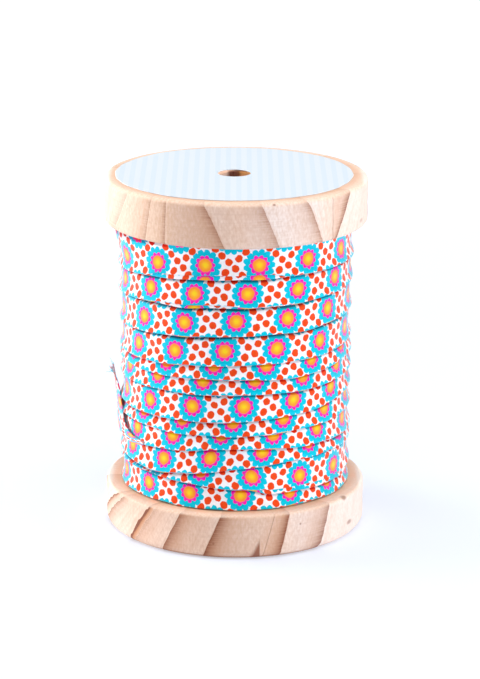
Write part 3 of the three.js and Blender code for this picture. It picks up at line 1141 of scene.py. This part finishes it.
def growth_rings(n, place, ring, fleck, shades, tones, power):
    """Pine in a tone for each growth ring. A ring darkens outwards and ends in a sharp line."""
    grain = n.drawn_noise(place, *GRAIN)
    ring = n.math("MAXIMUM", n.add(ring, n.times(n.minus(grain, 0.5), RING_WOBBLE)), 0.0)
    least, swing = RING_DRAG
    growth = n.times(n.math("FRACT", ring), n.add(n.times(n.drawn_noise(place, *DRAG), swing), least))
    growth = n.math("MINIMUM", growth, 1.0)
    shade = n.steps(ring, shades)
    out, up = STREAK_STRETCH
    streak = n.noise(n.vector(n.times(ring, out), n.times(place[2], up), 0.0), *STREAK_NOISE)
    tone = n.add(n.steps(ring, tones), n.times(n.minus(fleck, 0.5), TONE_FLECK))
    colour = n.blend(n.rise(tone, 0.0, 1.0), TAN_WOOD, PALE_WOOD)
    colour = n.blend(n.times(n.rise(streak, *STREAK_REACH), STREAK_SHARE), colour, TAN_WOOD)
    amber = n.times(n.math("POWER", growth, power * AMBER_POWER), n.times(shade, AMBER_SHARE))
    colour = n.blend(amber, colour, AMBER_WOOD)
    return n.blend(n.times(n.math("POWER", growth, power * BROWN_POWER), shade), colour, BROWN_WOOD)


def small_faults(n, colour, place, split, lathe):
    """The colour with tool marks, a fine split and specks."""
    colour = n.blend(n.times(n.rise(lathe, *LATHE_REACH), LATHE_SHARE), colour, BROWN_WOOD)
    line = n.inside(n.math("ABSOLUTE", split), *SPLIT_WIDTH)
    colour = n.blend(n.times(line, SPLIT_SHARE), colour, BROWN_WOOD)
    return n.blend(n.times(n.speck(n.vector(*place), *SPECKS), SPECK_SHARE), colour, BROWN_WOOD)


def tinted_sides(n, colour, x, right_side_light, tints):
    """The colour with painted light that makes it paler towards the right, and warmer or cooler from place to
    place.
    """
    colour = n.blend(n.times(n.rise(x, *RIGHT_SIDE_LIGHT_REACH), right_side_light), colour, linear(255, 245, 239))
    for start, full, green, blue in tints:
        colour = n.tint(n.rise(x, start, full), colour, (1.0, green, blue, 1.0))
    return colour


def dark_wedge(n, colour, place, right, width, height):
    """The colour with a wedge of dark wood at the front, which narrows upwards from the foot."""
    x, y, z = place
    left = n.add(n.times(z, width / height), right - width)
    beside = n.times(n.rise(n.minus(x, left), *WEDGE_LEFT_FADE), n.inside(x, right, WEDGE_RIGHT_FADE))
    wedge = n.times(beside, n.inside(y, 0.0, WEDGE_BACK_FADE))
    return n.blend(n.times(wedge, WEDGE_SHARE), colour, linear(146, 88, 64))


def foot_shade(n, colour, y, z, from_axis):
    """The colour with painted shade along the foot at the front."""
    low = n.times(n.inside(z, *FOOT_SHADE_HEIGHT), n.rise(from_axis, *FOOT_SHADE_RADIUS))
    foot_shadow = n.times(low, n.rise(y, *FOOT_SHADE_PLACES))
    return n.blend(n.times(foot_shadow, FOOT_SHADE_SHARE), colour, BROWN_WOOD)


def rim_highlight_and_face_shade(n, colour, x, z, from_axis, fleck, rim):
    """The colour with a painted highlight on the turned rim and upper face, and painted shade near the tape.
    """
    peach = n.blend(n.rise(fleck, *RIM_FLECK), linear(246, 207, 179), linear(253, 226, 206))
    peach = n.blend(n.inside(from_axis, *FACE_SHADE_REACH), peach, linear(244, 194, 160))
    sides = n.times(n.rise(n.math("ABSOLUTE", x), *SIDE_HIGHLIGHT), SIDE_HIGHLIGHT_SHARE)
    peach = n.blend(sides, peach, linear(255, 250, 240))
    return n.blend(n.times(n.rise(z, *rim), RIM_SHARE), colour, peach)


def dark_mark(n, colour, place, angle, height, half_width, half_height, strength):
    """The colour with a small dark spot in the side of a flange."""
    middle = around_axis(angle, FLANGE_RADIUS, height).tolist()
    halves = (half_width, half_width, half_height)
    away = [n.times(n.minus(value, m), 1.0 / half) for value, m, half in zip(place, middle, halves)]
    spot = n.inside(n.distance(*away), *MARK_EDGE)
    return n.blend(n.times(spot, strength), colour, BROWN_WOOD)


def bore_light_and_shade(n, colour, x, from_axis, fleck):
    """The colour with a bore that is amber at the right, a painted light, and dark in the middle, a painted
    shade.
    """
    least, swing = BORE_FLECK
    bored = n.times(n.inside(from_axis, *BORE_REACH), n.add(n.times(fleck, swing), least))
    colour = n.blend(n.times(bored, n.rise(x, *BORE_AMBER_PLACES)), colour, linear(248, 176, 96))
    middle, half, fade = BORE_DARK_PART
    dark_part = n.inside(n.math("ABSOLUTE", n.minus(x, middle)), half, fade)
    return n.blend(n.times(bored, dark_part), colour, linear(104, 46, 26))


def pine(name, shades, tones, power, rim, marks, right_side_light, tints, wedge=None):
    """Pale turned pine. Wood with a wedge also has painted shade along its foot."""
    n = Nodes(name, roughness=0.6)
    ring, split = n.surface_uv()
    place = n.place_mm()
    x, y, z = place
    from_axis = n.distance(x, y)
    fleck = n.drawn_noise(place, *FLECK)
    lathe = n.drawn_noise(place, *LATHE)
    colour = growth_rings(n, place, ring, fleck, shades, tones, power)
    colour = small_faults(n, colour, place, split, lathe)
    colour = tinted_sides(n, colour, x, right_side_light, tints)
    if wedge:
        colour = dark_wedge(n, colour, place, *wedge)
        colour = foot_shade(n, colour, y, z, from_axis)
    colour = rim_highlight_and_face_shade(n, colour, x, z, from_axis, fleck, rim)
    for mark in marks:
        colour = dark_mark(n, colour, place, *mark)
    colour = bore_light_and_shade(n, colour, x, from_axis, fleck)
    n.bump(n.add(n.times(lathe, LATHE_RELIEF), n.times(fleck, FLECK_RELIEF)), *WOOD_BUMP)
    return n.finish(colour)


def striped_paper():
    """Matt paper with pale blue stripes that run from front to back."""
    n = Nodes("label_paper", roughness=0.7)
    x, y, z = n.place_mm()
    wave = n.math("SINE", n.times(x, 2 * math.pi / STRIPE_PITCH))
    fibre = n.noise(n.vector(x, y, z), *FIBRES)
    colour = n.blend(n.rise(wave, *STRIPE_EDGE), linear(223, 231, 239), linear(215, 227, 238))
    colour = n.blend(n.times(fibre, FIBRE_SHARE), colour, linear(219, 229, 239))
    n.bump(fibre, *PAPER_BUMP)
    return n.finish(colour)


def pale_floor():
    n = Nodes("pale_floor", roughness=0.7)
    place = n.place_mm()
    uneven = n.noise(n.vector(*place), FLOOR_NOISE_SCALE)
    colour = n.blend(uneven, linear(186, 195, 212), linear(190, 198, 214))
    # Painted light: the floor glows, less near the object than far from it
    n.shader.inputs["Emission Color"].default_value = FLOOR_GLOW_COLOUR
    from_axis = n.distance(*place[:2])
    near, far = FLOOR_GLOW
    glow = n.add(n.times(n.rise(from_axis, *FLOOR_GLOW_REACH), far - near), near)
    n.feed(n.shader.inputs["Emission Strength"], glow)
    return n.finish(colour)


def dress(pieces, material):
    for piece in pieces:
        piece.data.materials.append(material)


# Stage

def area_light(name, location, size, power):
    """A soft light, its place and its width and height in metres, aimed at the middle of the object."""
    data = bpy.data.lights.new(name, "AREA")
    data.shape = "RECTANGLE"
    data.size, data.size_y = size
    data.energy = power
    light = bpy.data.objects.new(name, data)
    light.location = location
    aim = Vector((0.0, 0.0, UPPER_TOP * MM / 2)) - Vector(location)
    light.rotation_euler = aim.to_track_quat("-Z", "Y").to_euler()
    bpy.context.scene.collection.objects.link(light)


def studio():
    world = bpy.data.worlds.new("studio")
    world.use_nodes = True
    background = world.node_tree.nodes["Background"]
    background.inputs["Color"].default_value = WORLD_COLOUR
    background.inputs["Strength"].default_value = WORLD_STRENGTH
    bpy.context.scene.world = world
    for name, settings in LIGHTS.items():
        area_light(name, *settings)
    bpy.context.scene.view_settings.view_transform = "Standard"


def floor():
    half = FLOOR_HALF
    mesh = bpy.data.meshes.new("floor")
    corners = [(-half, -half, 0.0), (half, -half, 0.0), (half, half, 0.0), (-half, half, 0.0)]
    mesh.from_pydata(corners, [], [(0, 1, 2, 3)])
    piece = bpy.data.objects.new("floor", mesh)
    bpy.context.scene.collection.objects.link(piece)
    mesh.materials.append(pale_floor())


def camera():
    data = bpy.data.cameras.new("camera")
    data.lens = CAMERA_LENS
    data.sensor_width = CAMERA_SENSOR
    data.clip_start, data.clip_end = CAMERA_CLIP
    view = bpy.data.objects.new("camera", data)
    view.location = (0.0, -CAMERA_DISTANCE * MM, CAMERA_HEIGHT * MM)
    tilt = Euler((math.pi / 2 - CAMERA_PITCH, 0.0, -CAMERA_YAW)).to_matrix()
    roll = Euler((0.0, 0.0, CAMERA_ROLL)).to_matrix()
    view.rotation_euler = (tilt @ roll).to_euler()
    bpy.context.scene.collection.objects.link(view)
    bpy.context.scene.camera = view


camera()
studio()
floor()

turns = wound_tape()
under = under_turns()
tail, threads, tail_length = loose_end()
lower_flange, upper_flange, core = spool()
label = paper_label()

dress([turns, under, tail, threads], printed_cotton())
dress([lower_flange], pine("pine_lower", **LOWER_WOOD))
dress([upper_flange, core], pine("pine_upper", **UPPER_WOOD))
dress([label], striped_paper())
